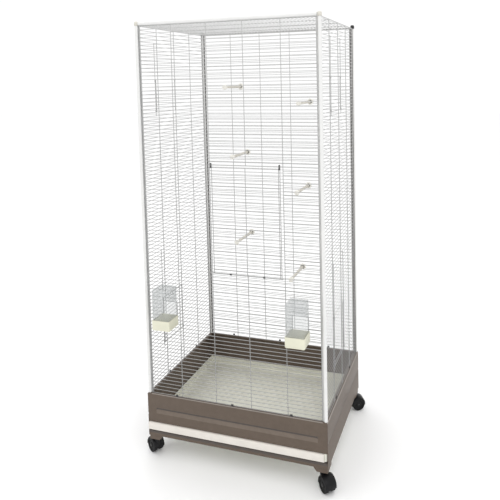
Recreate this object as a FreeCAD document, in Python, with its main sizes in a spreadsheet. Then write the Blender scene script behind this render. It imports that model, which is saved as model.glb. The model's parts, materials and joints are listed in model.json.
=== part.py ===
import FreeCAD, Part
import os
import re

import Sketcher

# Indoor flight cage on a castored tray base.
# Frame: millimetres, +Z up, front towards -Y, origin on the floor below the middle of the whole object.

os.makedirs("parts", exist_ok=True)
doc = FreeCAD.newDocument("flight_cage")

DRIVING_SIZES = {
    "wire_pitch": 13,
    "wire_rows": 99,
    "wire_size": 2,
    "upright_size": 2.6,
    "mesh_depth": 2.4,
    "cage_width": 644,
    "cage_depth": 481,
    "front_bays": 5,
    "side_bays": 4,
    "post_radius": 6,
    "rail_radius": 6.5,
    "cap_radius": 7.5,
    "cap_height": 14,
    "rod_radius": 2,
    "join_gap": 0.1,
    "rim_height": 233,
    "base_overhang": 7,
    "sheet_wall": 2,
    "rim_flange": 16,
    "seam_gap": 0.3,
    "apron_height": 104,
    "side_height": 155,
    "groove_margin": 33,
    "groove_drop": 51,
    "groove_height": 20,
    "groove_depth": 5,
    "cutter_margin": 0.1,
    "lower_rail_depth": 14,
    "lower_rail_gap": 4.5,
    "tray_wall": 2.5,
    "tray_height": 27,
    "tray_side_gap": 1.5,
    "tray_lift_gap": 0.5,
    "lip_reach": 5,
    "lip_roll": 3,
    "lip_end_gap": 9,
    "runner_width": 16,
    "runner_height": 3,
    "foot_width": 50,
    "foot_length": 48,
    "foot_slant": 12,
    "foot_inset": 2,
    "foot_height": 16,
    "stem_inset_x": 15,
    "stem_inset_y": 17,
    "stem_radius": 5,
    "stem_length": 13,
    "running_gap": 0.05,
    "swivel_gap": 0.5,
    "castor_trail": 22,
    "wheel_radius": 25,
    "wheel_width": 14,
    "wheel_side_gap": 0.5,
    "wheel_hub_radius": 9,
    "wheel_dish": 3,
    "axle_radius": 4,
    "castor_web": 10,
    "hood_shell": 2.5,
    "hood_gap": 1,
    "hood_skirt": 5,
    "collar_radius": 13,
    "door_first_row": 35,
    "door_rows": 28,
    "door_margin": 9,
    "door_top_margin": 6,
    "door_standoff": 4,
    "hinge_rod_radius": 1.7,
    "hinge_spacing": 118,
    "hinge_length": 8,
    "latch_length": 17,
    "latch_width": 6,
    "latch_depth": 3,
    "latch_pin_radius": 1.5,
    "upper_door_row": 76,
    "upper_door_rows": 9,
    "lower_door_row": 10,
    "lower_door_rows": 13,
    "side_door_overlap": 6,
    "guide_radius": 1.25,
    "guide_standoff": 4.2,
    "guide_offset": 3.5,
    "eyelet_wall": 1.2,
    "eyelet_length": 8,
    "feeder_left_x": -231,
    "feeder_right_x": 242,
    "feeder_row": 22,
    "feeder_rows": 4,
    "feeder_opening": 52,
    "rest_gap": 0.3,
    "cup_width": 66,
    "cup_depth": 63,
    "cup_height": 34,
    "cup_wall": 2,
    "cup_rise": 9,
    "skid_height": 4,
    "skid_width": 6,
    "tongue_width": 40,
    "tongue_height": 3,
    "tongue_reach": 8,
    "hopper_height": 108,
    "hopper_wall": 1.5,
    "hopper_seat": 4,
    "perch_length": 156,
    "perch_radius": 5.5,
    "knob_radius": 9.5,
    "knob_length": 12,
    "perch_pin_radius": 2,
    "disc_radius": 13,
    "disc_depth": 4,
    "nut_radius": 9,
    "nut_depth": 5,
    "clip_width": 8,
    "clip_height": 7,
    "clip_depth": 3,
    "clip_spacing": 210,
}
# Perches on the rear wall: distance from the middle in mm, and the gap between rows that holds the pin.
PERCH_PLACES = ((-151, 82), (148, 77), (-127, 61), (135, 51), (-117, 35), (105, 25))
# The way each castor trails from its stem, in degrees from +X; the corners differ as after a push.
CASTOR_DIRECTIONS = {"front_left": 150, "front_right": -45, "rear_left": 135, "rear_right": 30}

sheet = doc.addObject("Spreadsheet::Sheet", "Sizes")
for line, (alias, value) in enumerate(DRIVING_SIZES.items(), start=1):
    sheet.set("A%d" % line, alias)
    sheet.set("B%d" % line, "%g" % value)
    sheet.setAlias("B%d" % line, alias)

# Sizes that follow from the driving ones, as formulas kept on the same sheet.
# The rear-left castor, turned half way between its two axes, is what reaches furthest back.
FOLLOWING_SIZES = {
    "half_width": "cage_width / 2",
    "half_depth": "cage_depth / 2",
    "feeder_front": "half_depth + mesh_depth / 2 + rest_gap + cup_depth",
    "castor_rear": "stem_y + (castor_trail + hood_outer + hood_half) * sqrt(0.5)",
    "cage_y": "(feeder_front - castor_rear) / 2",
    "front_y": "cage_y - half_depth",
    "rear_y": "cage_y + half_depth",
    "base_x": "half_width + base_overhang",
    "base_front": "front_y - base_overhang",
    "base_rear": "rear_y + base_overhang",
    "cage_height": "wire_pitch * wire_rows",
    "top_z": "rim_height + cage_height + wire_size",
    "base_bottom": "rim_height - side_height",
    "foot_bottom": "base_bottom - foot_height",
    "inner_x": "base_x - sheet_wall",
    "groove_top": "rim_height - groove_drop",
    "tray_x": "inner_x - tray_side_gap",
    "tray_bottom": "rim_height - apron_height - tray_lift_gap - tray_height",
    "lower_rail_height": "tray_bottom - lower_rail_gap - base_bottom",
    "panel_inset": "post_radius + rod_radius * 2 + join_gap * 2",
    "door_y": "front_y - door_standoff",
    "hinge_z": "rim_height + wire_size / 2 + wire_pitch * door_first_row",
    "door_height": "wire_pitch * door_rows - door_top_margin",
    "latch_y": "door_y - mesh_depth / 2 - rest_gap - latch_depth",
    "cup_z": "rim_height + wire_pitch * feeder_row - cup_height + cup_rise",
    "cup_back": "front_y - mesh_depth / 2 - rest_gap",
    "stem_x": "half_width - stem_inset_x",
    "stem_y": "half_depth - stem_inset_y",
    "wheel_room": "wheel_width + wheel_side_gap * 2",
    "hood_inner": "wheel_radius + hood_gap",
    "hood_outer": "hood_inner + hood_shell",
    "hood_half": "castor_web / 2 + wheel_room",
}
KNOWN = set(DRIVING_SIZES) | set(FOLLOWING_SIZES)
first_free = len(DRIVING_SIZES) + 1
for line, (alias, formula) in enumerate(FOLLOWING_SIZES.items(), start=first_free):
    sheet.set("A%d" % line, alias)
    sheet.set("B%d" % line, "=" + formula)
    sheet.setAlias("B%d" % line, alias)
doc.recompute()

AXIS_TURNS = {
    "x": FreeCAD.Rotation(FreeCAD.Vector(0, 1, 0), 90),
    "y": FreeCAD.Rotation(FreeCAD.Vector(1, 0, 0), -90),
    "z": FreeCAD.Rotation(),
}
nodes = []


def size(alias):
    return float(sheet.get(alias))


def on_sheet(word):
    return ("Sizes." if word.group(0) in KNOWN else "") + word.group(0)


def bind(item, prop, formula):
    """Binds one property to a formula written with the sheet's aliases."""
    item.setExpression(prop, re.sub(r"[a-z_]+", on_sheet, formula))


def place(item, corner, turn=None):
    if turn is not None:
        item.Placement.Rotation = turn
    for axis, formula in zip("xyz", corner):
        bind(item, "Placement.Base." + axis, formula)
    return item


def block(label, low, extent):
    """A box from its low corner and its three lengths."""
    item = doc.addObject("Part::Box", label)
    for prop, formula in zip(("Length", "Width", "Height"), extent):
        bind(item, prop, formula)
    return place(item, low)


def rod(label, start, radius, length, direction):
    """A cylinder that starts at a point and runs along +x, +y or +z."""
    item = doc.addObject("Part::Cylinder", label)
    bind(item, "Radius", radius)
    bind(item, "Height", length)
    return place(item, start, AXIS_TURNS[direction])


def fuse(label, pieces):
    item = doc.addObject("Part::MultiFuse", label)
    item.Shapes = pieces
    item.Refine = True
    return item


def cut(label, base, tools):
    item = doc.addObject("Part::Cut", label)
    item.Base = base
    item.Tool = tools[0] if len(tools) == 1 else fuse(label + "_tool", tools)
    return item


def group(label, pieces):
    item = doc.addObject("Part::Compound", label)
    item.Links = pieces
    return item


def node(name, item):
    """Names a finished sub-part: its label is the name of its file."""
    item.Label = name
    nodes.append(item)
    return item


def prism(label, role, corners, pad_length, position):
    """A PartDesign body: a closed outline on one origin plane, padded, with every corner bound."""
    body = doc.addObject("PartDesign::Body", label)
    sketch = body.newObject("Sketcher::SketchObject", label + "_sketch")
    plane = [feature for feature in body.Origin.OriginFeatures if feature.Role == role][0]
    sketch.AttachmentSupport = [(plane, "")]
    sketch.MapMode = "FlatFace"
    probe = doc.addObject("Spreadsheet::Sheet", label + "_start")
    starts = []
    for line, corner in enumerate(corners, start=1):
        for column, formula in zip("AB", corner):
            probe.set("%s%d" % (column, line), "=" + re.sub(r"[a-z_]+", on_sheet, formula))
    doc.recompute()
    for line in range(1, len(corners) + 1):
        starts.append(FreeCAD.Vector(float(probe.get("A%d" % line)), float(probe.get("B%d" % line)), 0))
    doc.removeObject(probe.Name)
    count = len(corners)
    for index in range(count):
        sketch.addGeometry(Part.LineSegment(starts[index], starts[(index + 1) % count]))
    for index in range(count):
        sketch.addConstraint(Sketcher.Constraint("Coincident", index, 2, (index + 1) % count, 1))
    for index, corner in enumerate(corners):
        for kind, formula in zip(("DistanceX", "DistanceY"), corner):
            value = starts[index].x if kind == "DistanceX" else starts[index].y
            row = sketch.addConstraint(Sketcher.Constraint(kind, -1, 1, index, 1, value))
            bind(sketch, "Constraints[%d]" % row, formula)
    pad = body.newObject("PartDesign::Pad", label + "_pad")
    pad.Profile = sketch
    bind(pad, "Length", pad_length)
    body.Tip = pad
    return place(body, position)


def grid(label, uprights, rows, mesh, openings=()):
    """A flat wire panel in the XZ plane, centred on y = 0: upright centres, row count, and openings.

    Each opening is (left edge, right edge, first row, last row), measured like the uprights."""
    row_wire, upright_wire, depth, pitch = mesh
    top = rows * pitch
    left_edge = uprights[0] - upright_wire / 2
    right_edge = uprights[-1] + upright_wire / 2
    outline = [(left_edge, -row_wire / 2), (right_edge, -row_wire / 2)]
    outline += [(right_edge, top + row_wire / 2), (left_edge, top + row_wire / 2)]
    cells = []
    for row in range(rows):
        low = row * pitch + row_wire / 2
        high = (row + 1) * pitch - row_wire / 2
        here = [gap for gap in openings if gap[2] <= row < gap[3]]
        for left, right in zip(uprights, uprights[1:]):
            spans = [(left + upright_wire / 2, right - upright_wire / 2)]
            for gap in here:
                before = gap[0] - upright_wire
                after = gap[1] + upright_wire
                spans = [piece for start, end in spans
                         for piece in ((start, min(end, before)), (max(start, after), end))]
            cells += [(start, low, end, high) for start, end in spans if end - start > upright_wire]
    for left, right, first, last in openings:
        cells.append((left, first * pitch + row_wire / 2, right, last * pitch - row_wire / 2))
    wires = [loop(outline)]
    for start, low, end, high in cells:
        wires.append(loop([(start, low), (end, low), (end, high), (start, high)]))
    face = Part.makeFace(wires, "Part::FaceMakerBullseye")
    face.translate(FreeCAD.Vector(0, -depth / 2, 0))
    item = doc.addObject("Part::Feature", label)
    item.Shape = face.extrude(FreeCAD.Vector(0, depth, 0))
    return item


def loop(corners):
    points = [FreeCAD.Vector(x, 0, z) for x, z in corners]
    return Part.makePolygon(points + points[:1])


MESH = (size("wire_size"), size("upright_size"), size("mesh_depth"), size("wire_pitch"))
SIDES = (("left", "-", -1), ("right", "", 1))
ENDS = (("front", -1), ("rear", 1))
TURN_SIDEWAYS = FreeCAD.Rotation(FreeCAD.Vector(0, 0, 1), 90)


def side_start(sign, inner, outer):
    """The low x of something that spans inner..outer on the right, or its mirror image on the left."""
    return inner if sign > 0 else "-(%s)" % outer


# Base: two folded sides, a deep rear panel, a front panel with a pressed groove, and a lower front rail.
base_length = "cage_depth + base_overhang * 2"
for side, minus, sign in SIDES:
    wall = block("wall_" + side, (side_start(sign, "inner_x", "base_x"), "base_front", "base_bottom"),
                 ("sheet_wall", base_length, "side_height"))
    flange = block("flange_" + side, (side_start(sign, "base_x - rim_flange", "base_x"), "base_front",
                                      "rim_height - sheet_wall"), ("rim_flange", base_length, "sheet_wall"))
    node("base_" + side, fuse("side_" + side, [wall, flange]))
    runner = block("runner_box_" + side,
                   (side_start(sign, "inner_x - runner_width", "inner_x"), "base_front + lower_rail_depth",
                    "tray_bottom - rest_gap - runner_height"),
                   ("runner_width", base_length + " - lower_rail_depth - sheet_wall", "runner_height"))
    node("runner_" + side, runner)

between_x = "inner_x * 2 - seam_gap * 2"
between_start = "seam_gap - inner_x"
flange_x = "(base_x - rim_flange - seam_gap) * 2"
flange_start = "rim_flange + seam_gap - base_x"
apron = block("apron", (between_start, "base_front", "rim_height - apron_height"),
              (between_x, "sheet_wall", "apron_height - sheet_wall - seam_gap"))
apron_flange = block("apron_flange", (flange_start, "base_front", "rim_height - apron_height"),
                     (flange_x, "sheet_wall", "apron_height"))
apron_top = block("apron_top", (flange_start, "base_front", "rim_height - sheet_wall"),
                  (flange_x, "rim_flange", "sheet_wall"))
backing = block("groove_backing",
                ("groove_margin - base_x", "base_front", "groove_top - groove_height - sheet_wall"),
                ("(base_x - groove_margin) * 2", "groove_depth + sheet_wall",
                 "groove_height + sheet_wall * 2"))
groove_section = (("-cutter_margin", "-groove_height - cutter_margin"), ("groove_depth", "-cutter_margin"),
                  ("-cutter_margin", "cutter_margin"))
groove = prism("groove", "YZ_Plane", groove_section, "(base_x - groove_margin) * 2 - sheet_wall * 2",
               ("groove_margin + sheet_wall - base_x", "base_front", "groove_top"))
front_panel = fuse("front_panel", [apron, apron_flange, apron_top, backing])
node("base_front", cut("front_grooved", front_panel, [groove]))

rear_wall = block("rear_wall", (between_start, "base_rear - sheet_wall", "base_bottom"),
                  (between_x, "sheet_wall", "side_height - sheet_wall - seam_gap"))
rear_top = block("rear_top", (flange_start, "base_rear - rim_flange", "rim_height - sheet_wall"),
                 (flange_x, "rim_flange", "sheet_wall"))
rear_riser = block("rear_riser", (flange_start, "base_rear - sheet_wall", "base_bottom"),
                   (flange_x, "sheet_wall", "side_height"))
node("base_rear", fuse("rear_panel", [rear_wall, rear_top, rear_riser]))
rail_box = block("rail_box", (between_start, "base_front", "base_bottom"),
                 (between_x, "lower_rail_depth", "lower_rail_height"))
rail_hollow = block("rail_hollow", (between_start, "base_front + sheet_wall", "base_bottom"),
                    (between_x, "lower_rail_depth - sheet_wall", "lower_rail_height - sheet_wall"))
node("lower_rail", cut("rail_shell", rail_box, [rail_hollow]))

# Pull-out tray with a rolled lip across the front.
tray_length = "base_rear - sheet_wall - rest_gap - base_front"
tray_box = block("tray_box", ("-tray_x", "base_front", "tray_bottom"),
                 ("tray_x * 2", tray_length, "tray_height"))
tray_hollow = block("tray_hollow",
                    ("tray_wall - tray_x", "base_front + tray_wall", "tray_bottom + tray_wall"),
                    ("(tray_x - tray_wall) * 2", tray_length + " - tray_wall * 2", "tray_height"))
lip_length = "tray_x * 2 - lip_end_gap"
lip_plate = block("lip_plate", ("-tray_x", "base_front - lip_reach", "tray_bottom"),
                  (lip_length, "lip_reach + tray_wall", "tray_height"))
lip_hollow = block("lip_hollow", ("-tray_x", "base_front - lip_reach + tray_wall", "tray_bottom"),
                   (lip_length, "lip_reach - tray_wall", "tray_height - tray_wall"))
lip_roll = rod("lip_roll_rod",
               ("-tray_x", "base_front - lip_reach + lip_roll / 2", "tray_bottom + lip_roll"),
               "lip_roll", lip_length, "x")
lip = fuse("lip", [cut("lip_shell", lip_plate, [lip_hollow]), lip_roll])
node("tray", fuse("tray_shell", [cut("tray_pan", tray_box, [tray_hollow]), lip]))

# One castor, built about its stem and trailing towards +X: hood with stem, axle, and a pair of wheels.
shell = rod("hood_shell", ("castor_trail", "-hood_half", "wheel_radius"), "hood_outer", "hood_half * 2", "y")
collar = rod("hood_collar", ("0", "0", "wheel_radius"), "collar_radius",
             "foot_bottom - swivel_gap - wheel_radius", "z")
rooms = [rod("wheel_room_" + tip, ("castor_trail", start, "wheel_radius"), "hood_inner", "wheel_room", "y")
         for tip, start in (("near", "-hood_half"), ("far", "castor_web / 2"))]
below = block("hood_below", ("castor_trail - hood_outer * 2", "-hood_half - hood_shell",
                             "wheel_radius - hood_outer - hood_skirt"),
              ("hood_outer * 4", "(hood_half + hood_shell) * 2", "hood_outer"))
hood = cut("hood", fuse("hood_solid", [shell, collar]), rooms + [below])
stem = rod("stem", ("0", "0", "foot_bottom - swivel_gap * 2"), "stem_radius", "stem_length", "z")
axle_start = ("castor_trail", "-hood_half", "wheel_radius")
axle_hole = rod("axle_hole", axle_start, "axle_radius", "hood_half * 2", "y")
castor_hood = cut("castor_top", fuse("castor_solid", [hood, stem]), [axle_hole])
castor_axle = rod("axle", axle_start, "axle_radius", "hood_half * 2", "y")
wheels = []
near_side = "wheel_side_gap - hood_half"
far_side = "castor_web / 2 + wheel_side_gap"
far_dish = "hood_half - wheel_side_gap - wheel_dish"
for tip, start, dish_start in (("near", near_side, near_side), ("far", far_side, far_dish)):
    centre = ("castor_trail", start, "wheel_radius")
    dish_centre = ("castor_trail", dish_start, "wheel_radius")
    disc = rod("wheel_disc_" + tip, centre, "wheel_radius", "wheel_width", "y")
    dish = rod("wheel_dish_" + tip, dish_centre, "wheel_radius - wheel_dish * 2", "wheel_dish", "y")
    hub = rod("wheel_hub_" + tip, centre, "wheel_hub_radius", "wheel_width", "y")
    hole = rod("wheel_hole_" + tip, centre, "axle_radius + running_gap", "wheel_width", "y")
    rim = fuse("wheel_rim_" + tip, [cut("wheel_dished_" + tip, disc, [dish]), hub])
    wheels.append(cut("wheel_" + tip, rim, [hole]))
castor_wheels = group("wheel_pair", wheels)

# Feet and castors, one of each at every corner.
for side, minus, sign in SIDES:
    for end, sign_y in ENDS:
        corner = end + "_" + side
        outline = []
        for reach, level in (("0", "base_bottom"), ("0", "foot_bottom"),
                             ("foot_width - foot_slant", "foot_bottom"), ("foot_width", "base_bottom")):
            outline.append(("%d * (base_x - foot_inset - (%s))" % (sign, reach), level))
        foot_y = "base_front + foot_inset" if sign_y < 0 else "base_rear - foot_inset - foot_length"
        foot = prism("foot_body_" + corner, "XZ_Plane", outline, "foot_length",
                     ("0", foot_y + " + foot_length", "0"))
        axis_x = "%sstem_x" % minus
        axis_y = "cage_y %s stem_y" % ("-" if sign_y < 0 else "+")
        bore = rod("foot_bore_" + corner, (axis_x, axis_y, "foot_bottom - sheet_wall"),
                   "stem_radius + running_gap", "foot_height * 2", "z")
        node("foot_" + corner, cut("foot_cut_" + corner, foot, [bore]))

        turn = FreeCAD.Rotation(FreeCAD.Vector(0, 0, 1), CASTOR_DIRECTIONS[corner])
        for kind, piece in (("hood", castor_hood), ("axle", castor_axle), ("wheels", castor_wheels)):
            placed = place(group("%s_%s" % (kind, corner), [piece]), (axis_x, axis_y, "0"), turn)
            node("castor_%s_%s" % (kind, corner), placed)

# Wire panels: upright centres run between the inset edges, with the bays set out from corner to corner.
half_width = size("half_width")
half_depth = size("half_depth")
edge = size("panel_inset") + MESH[1] / 2


def upright_line(half, bays):
    inner = [-half + 2 * half * bay / bays for bay in range(1, bays)]
    return [edge - half] + inner + [half - edge]


front_uprights = upright_line(half_width, int(size("front_bays")))
side_uprights = upright_line(half_depth, int(size("side_bays")))
rows = int(size("wire_rows"))
door_left = front_uprights[2]
door_right = front_uprights[4]
door_last = int(size("door_first_row") + size("door_rows"))
openings = [(door_left + MESH[1] / 2, door_right - MESH[1] / 2, int(size("door_first_row")), door_last)]
for feeder in ("feeder_left_x", "feeder_right_x"):
    middle = size(feeder)
    reach = size("feeder_opening") / 2
    openings.append((middle - reach, middle + reach, int(size("feeder_row")),
                     int(size("feeder_row") + size("feeder_rows"))))
node("wire_front", place(grid("grid_front", front_uprights, rows, MESH, openings),
                         ("0", "front_y", "rim_height + wire_size / 2")))
node("wire_rear", place(grid("grid_rear", front_uprights, rows, MESH),
                        ("0", "rear_y", "rim_height + wire_size / 2")))
side_openings = []
for level in ("upper", "lower"):
    first = int(size(level + "_door_row"))
    last = first + int(size(level + "_door_rows"))
    side_openings.append((side_uprights[1] + MESH[1] / 2, side_uprights[2] - MESH[1] / 2, first, last))
for side, minus, sign in SIDES:
    panel = grid("grid_" + side, side_uprights, rows, MESH, side_openings)
    node("wire_" + side, place(panel, (minus + "half_width", "cage_y", "rim_height + wire_size / 2"),
                               TURN_SIDEWAYS))
roof_rows = round(2 * half_width / MESH[3])
roof_pitch = 2 * half_width / roof_rows
roof = grid("grid_roof", side_uprights, roof_rows, (MESH[0], MESH[1], MESH[2], roof_pitch))
ROOF_TURN = FreeCAD.Rotation(FreeCAD.Vector(1, 1, 1), 120)
node("wire_roof", place(roof, ("-half_width", "cage_y", "top_z + mesh_depth / 2"), ROOF_TURN))

# Corner posts, top rail, caps, and the thin rods that join the panels to the posts.
rods = []
for end, sign_y in ENDS:
    corner_y = "front_y" if sign_y < 0 else "rear_y"
    caps = []
    for side, minus, sign in SIDES:
        corner = end + "_" + side
        node("post_" + corner, rod("post_rod_" + corner, (minus + "half_width", corner_y, "rim_height"),
                                   "post_radius", "top_z - rim_height", "z"))
        caps.append(rod("cap_rod_" + corner, (minus + "half_width", corner_y, "top_z"),
                        "cap_radius", "cap_height", "z"))
        reach = "(post_radius + rod_radius + join_gap)"
        inward_x = "%shalf_width %s %s" % (minus, "-" if sign > 0 else "+", reach)
        inward_y = "%s %s %s" % (corner_y, "-" if sign_y > 0 else "+", reach)
        for tag, x, y in (("across", inward_x, corner_y), ("along", minus + "half_width", inward_y)):
            rods.append(rod("join_%s_%s" % (tag, corner), (x, y, "rim_height"), "rod_radius",
                            "top_z - rim_height", "z"))
    node("caps_" + end, group("cap_pair_" + end, caps))
top_length = "(half_width - cap_radius - join_gap) * 2"
top_start = "cap_radius + join_gap - half_width"
node("top_rail", rod("top_rail_rod", (top_start, "front_y", "top_z + rail_radius"),
                     "rail_radius", top_length, "x"))
rods.append(rod("join_rear_top", (top_start, "rear_y", "top_z + rod_radius"),
                "rod_radius", top_length, "x"))
node("joining_rods", group("rod_set", rods))

# Drop-down front door on a hinge wire held by two loops, with two turning latches.
door_edge = size("door_margin")
door_uprights = [door_left + door_edge, front_uprights[3], door_right - door_edge]
door_rows = int(size("door_rows"))
door_mesh = MESH[:3] + (size("door_height") / door_rows,)
door_grid = place(grid("grid_door", door_uprights, door_rows, door_mesh), ("0", "door_y", "hinge_z"))
door_middle = "%g" % ((door_left + door_right) / 2)
door_reach = "%g" % ((door_right - door_left) / 2)
hinge_start = door_middle + " - " + door_reach + " + door_margin / 2"
hinge_wire = rod("hinge_wire", (hinge_start, "door_y", "hinge_z"),
                 "hinge_rod_radius", "(%s) * 2 - door_margin" % door_reach, "x")
node("front_door", fuse("door_and_wire", [door_grid, hinge_wire]))
loops = []
latch_pins = []
for side, minus, sign in SIDES:
    loop_x = "%s %s hinge_spacing / 2 - hinge_length / 2" % (door_middle, "-" if sign < 0 else "+")
    outer = rod("loop_outer_" + side, (loop_x, "door_y", "hinge_z"), "door_standoff - mesh_depth / 2",
                "hinge_length", "x")
    inner = rod("loop_inner_" + side, (loop_x, "door_y", "hinge_z"), "hinge_rod_radius + running_gap",
                "hinge_length", "x")
    loops.append(cut("loop_" + side, outer, [inner]))
    latch_x = "%s %s (%s - door_margin)" % (door_middle, "-" if sign < 0 else "+", door_reach)
    pin_z = "hinge_z + door_height"
    plate = block("latch_plate_" + side,
                  (latch_x + " - latch_width / 2", "latch_y", pin_z + " - latch_width / 2"),
                  ("latch_width", "latch_depth", "latch_length"))
    bore = rod("latch_bore_" + side, (latch_x, "latch_y", pin_z), "latch_pin_radius + running_gap",
               "latch_depth", "y")
    node("latch_" + side, cut("latch_cut_" + side, plate, [bore]))
    shaft = rod("latch_shaft_" + side, (latch_x, "latch_y - rest_gap", pin_z), "latch_pin_radius",
                "latch_depth + rest_gap * 2", "y")
    head = rod("latch_head_" + side, (latch_x, "latch_y - rest_gap - wire_size / 2", pin_z),
               "latch_width / 2", "wire_size / 2", "y")
    latch_pins.append(fuse("latch_pin_" + side, [shaft, head]))
node("hinge_loops", group("loop_pair", loops))
node("latch_pins", group("latch_pin_pair", latch_pins))

# Side doors: each slides up on two bent guide rods outside its panel.
overlap = size("side_door_overlap")
side_door_uprights = [side_uprights[1] - overlap, side_uprights[2] + overlap]
guides = []
for side, minus, sign in SIDES:
    plane_x = "%s(half_width + guide_standoff)" % minus
    stub_x = side_start(sign, "half_width + mesh_depth / 2", "half_width + guide_standoff")
    for level in ("upper", "lower"):
        tag = level + "_" + side
        first = level + "_door_row"
        count = level + "_door_rows"
        bottom_z = "rim_height + wire_size / 2 + wire_pitch * " + first
        pieces = [place(grid("grid_" + tag, side_door_uprights, int(size(count)), MESH),
                        (plane_x, "cage_y", bottom_z), TURN_SIDEWAYS)]
        for tip, upright, direction in zip(("near", "far"), side_door_uprights, "-+"):
            guide_y = "cage_y + (%g) %s guide_offset" % (upright, direction)
            low_z = bottom_z + " - wire_pitch"
            travel = "wire_pitch * (%s * 2 + 2)" % count
            shaft = rod("guide_%s_%s" % (tip, tag), (plane_x, guide_y, low_z), "guide_radius", travel, "z")
            stubs = [rod("stub_%s_%s_%s" % (spot, tip, tag), (stub_x, guide_y, level_z), "wire_size / 2",
                         "guide_standoff - mesh_depth / 2", "x")
                     for spot, level_z in (("low", low_z), ("high", low_z + " + " + travel))]
            guides.append(fuse("guide_rod_%s_%s" % (tip, tag), [shaft] + stubs))
            high_z = bottom_z + " + wire_pitch * %s - eyelet_length" % count
            for spot, eyelet_z in (("low", bottom_z), ("high", high_z)):
                name = "%s_%s_%s" % (spot, tip, tag)
                outer = rod("eyelet_outer_" + name, (plane_x, guide_y, eyelet_z),
                            "guide_radius + eyelet_wall", "eyelet_length", "z")
                inner = rod("eyelet_inner_" + name, (plane_x, guide_y, eyelet_z),
                            "guide_radius + running_gap", "eyelet_length", "z")
                pieces.append(cut("eyelet_" + name, outer, [inner]))
        node("door_" + tag, fuse("door_solid_" + tag, pieces))
node("door_guides", group("guide_set", guides))

# Feeders: a cup that hooks between two wires, and a clear hopper that stands in it.
for side, minus, sign in SIDES:
    middle = "feeder_%s_x" % side
    cup_front = "cup_back - cup_depth"
    shell = block("cup_shell_" + side, (middle + " - cup_width / 2", cup_front, "cup_z"),
                  ("cup_width", "cup_depth", "cup_height"))
    hollow = block("cup_hollow_" + side,
                   (middle + " - cup_width / 2 + cup_wall", cup_front + " + cup_wall", "cup_z + cup_wall"),
                   ("cup_width - cup_wall * 2", "cup_depth - cup_wall * 2", "cup_height"))
    tongue_z = "rim_height + wire_size + wire_pitch * (feeder_row - 1) + rest_gap"
    tongue = block("cup_tongue_" + side,
                   (middle + " - tongue_width / 2", "cup_back - cup_wall / 2", tongue_z),
                   ("tongue_width", "cup_wall / 2 + tongue_reach", "tongue_height"))
    skid_starts = (middle + " - cup_width / 2 + skid_width", middle + " + cup_width / 2 - skid_width * 2")
    skids = [block("cup_skid_%s_%s" % (tip, side),
                   (start, cup_front + " + skid_width", "cup_z - skid_height"),
                   ("skid_width", "cup_depth - skid_width * 2", "skid_height"))
             for tip, start in zip("ab", skid_starts)]
    node("feed_cup_" + side, fuse("cup_" + side, [cut("cup_cut_" + side, shell, [hollow]), tongue] + skids))

    inset = "cup_wall + rest_gap"
    hopper_low = (middle + " - cup_width / 2 + " + inset, cup_front + " + " + inset,
                  "cup_z + cup_height - hopper_seat")
    hopper_size = ("cup_width - (%s) * 2" % inset, "cup_depth - (%s) * 2" % inset, "hopper_height")
    case = block("hopper_case_" + side, hopper_low, hopper_size)
    space = block("hopper_space_" + side,
                  (hopper_low[0] + " + hopper_wall", hopper_low[1] + " + hopper_wall",
                   hopper_low[2] + " - hopper_wall"),
                  [extent + " - hopper_wall * 2" for extent in hopper_size[:2]] + ["hopper_height"])
    mouth = block("hopper_mouth_" + side, (middle + " - feeder_opening / 2", "cup_back - cup_depth / 2",
                                           hopper_low[2] + " - hopper_wall"),
                  ("feeder_opening", "cup_depth", "wire_pitch * feeder_rows"))
    node("feed_hopper_" + side, cut("hopper_" + side, case, [space, mouth]))

# Perches, each held to the rear wires by a nut behind.
nuts = []
for number, (perch_x, perch_gap) in enumerate(PERCH_PLACES, start=1):
    perch_z = "rim_height + wire_size / 2 + wire_pitch * (%d + 0.5)" % perch_gap
    wall_y = "rear_y - mesh_depth / 2"
    disc = rod("perch_disc_%d" % number, ("%d" % perch_x, wall_y + " - disc_depth", perch_z),
               "disc_radius", "disc_depth", "y")
    bar = rod("perch_bar_%d" % number, ("%d" % perch_x, wall_y + " - perch_length", perch_z),
              "perch_radius", "perch_length - disc_depth / 2", "y")
    knob_y = wall_y + " - perch_length - knob_length / 2"
    knob = rod("perch_knob_%d" % number, ("%d" % perch_x, knob_y, perch_z),
               "knob_radius", "knob_length", "y")
    node("perch_%d" % number, fuse("perch_solid_%d" % number, [disc, bar, knob]))
    pin = rod("perch_pin_%d" % number, ("%d" % perch_x, wall_y, perch_z), "perch_pin_radius",
              "mesh_depth + nut_depth", "y")
    nut = rod("perch_nut_%d" % number, ("%d" % perch_x, "rear_y + mesh_depth / 2", perch_z),
              "nut_radius", "nut_depth", "y")
    nuts.append(fuse("perch_bolt_%d" % number, [pin, nut]))
node("perch_bolts", group("bolt_set", nuts))

# Small clips on the rim, against the outside of each panel.
clips = []
for count in (-1, 0, 1):
    for end, sign_y in ENDS:
        start_y = "front_y - mesh_depth / 2 - clip_depth" if sign_y < 0 else "rear_y + mesh_depth / 2"
        clips.append(block("clip_%s_%d" % (end, count + 2),
                           ("clip_spacing * (%d) - clip_width" % count, start_y, "rim_height"),
                           ("clip_width", "clip_depth", "clip_height")))
    if count:
        for side, minus, sign in SIDES:
            start_x = side_start(sign, "half_width + mesh_depth / 2",
                                 "half_width + mesh_depth / 2 + clip_depth")
            clips.append(block("clip_%s_%d" % (side, count + 2),
                               (start_x, "cage_y + clip_spacing / 2 * (%d)" % count, "rim_height"),
                               ("clip_depth", "clip_width", "clip_height")))
node("rim_clips", group("clip_set", clips))

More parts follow.
